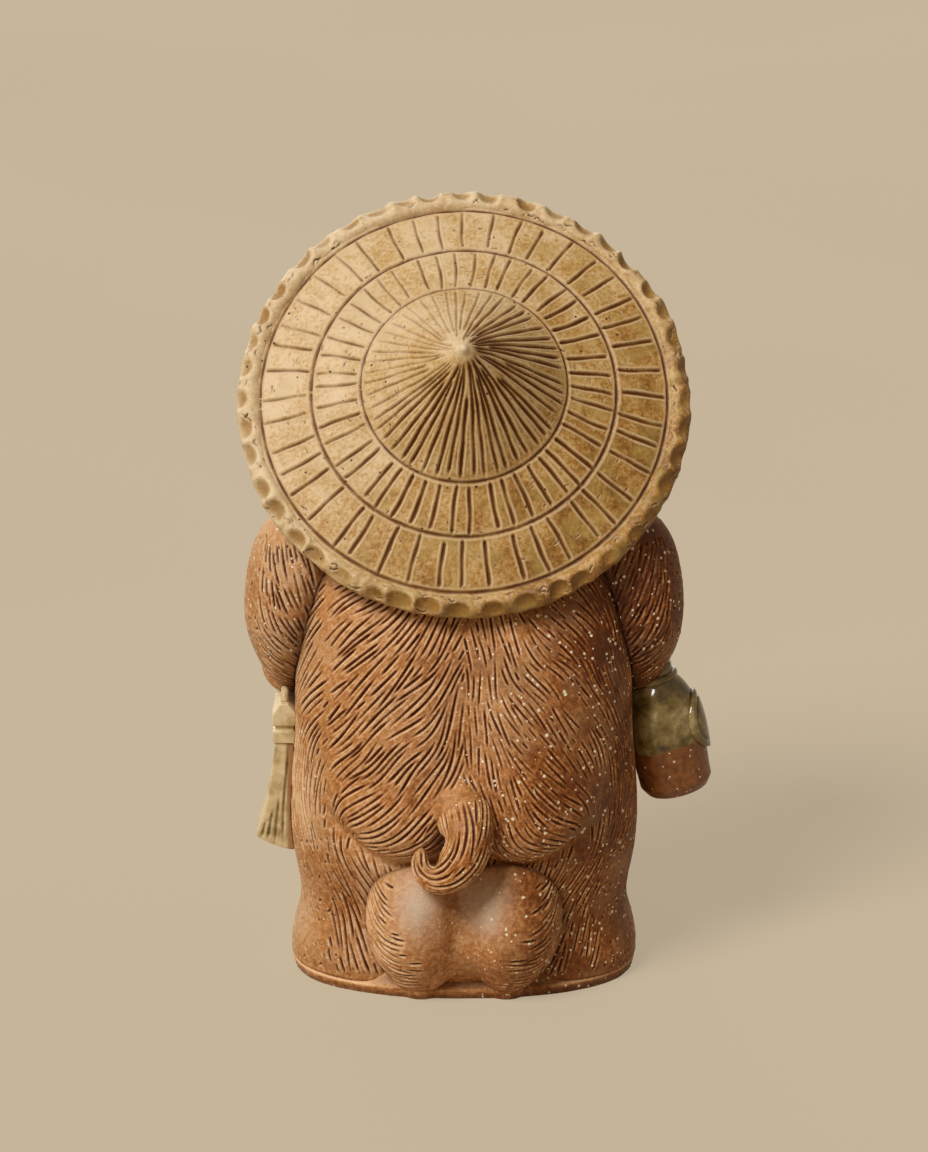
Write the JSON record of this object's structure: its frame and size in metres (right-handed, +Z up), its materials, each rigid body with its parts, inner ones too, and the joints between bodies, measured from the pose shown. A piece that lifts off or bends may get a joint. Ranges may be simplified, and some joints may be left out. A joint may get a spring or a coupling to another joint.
{
  "type": "raccoon dog figure",
  "caption": "Hollow stoneware figure of a standing raccoon dog in a pushed-back straw hat, with a flask and an account book.",
  "frame": {"origin": "on the underside of the base slab, below the axis of the body", "axes": "+Z up, the figure looks along -Y, its right hand with the flask is at -X"},
  "size_m": [0.2145, 0.1778, 0.3452],
  "materials": {
    "bare_stoneware": "matte",
    "straw_ash_glaze": "satin",
    "flask_ash_glaze": "gloss",
    "book_ash_glaze": "satin",
    "dark_iron_glaze": "gloss"
  },
  "bodies": {
    "root": {"base_slab": "bare_stoneware", "body_back_shell": "bare_stoneware", "body_front_shell": "bare_stoneware", "book_binding": "book_ash_glaze", "book_loop": "book_ash_glaze", "book_pages": "book_ash_glaze", "flask_body": "flask_ash_glaze", "flask_cord": "flask_ash_glaze", "flask_medallion": "flask_ash_glaze", "hat_cone": "straw_ash_glaze", "hat_rim": "straw_ash_glaze", "head_shell": "bare_stoneware", "left_arm": "bare_stoneware", "left_ear": "bare_stoneware", "left_eye": "dark_iron_glaze", "left_foot": "bare_stoneware", "left_paw": "bare_stoneware", "money_bag_front": "bare_stoneware", "money_bag_rear": "bare_stoneware", "muzzle": "bare_stoneware", "nose": "dark_iron_glaze", "right_arm": "bare_stoneware", "right_ear": "bare_stoneware", "right_eye": "dark_iron_glaze", "right_foot": "bare_stoneware", "right_paw": "bare_stoneware", "tail": "bare_stoneware"}
  },
  "joints": []
}
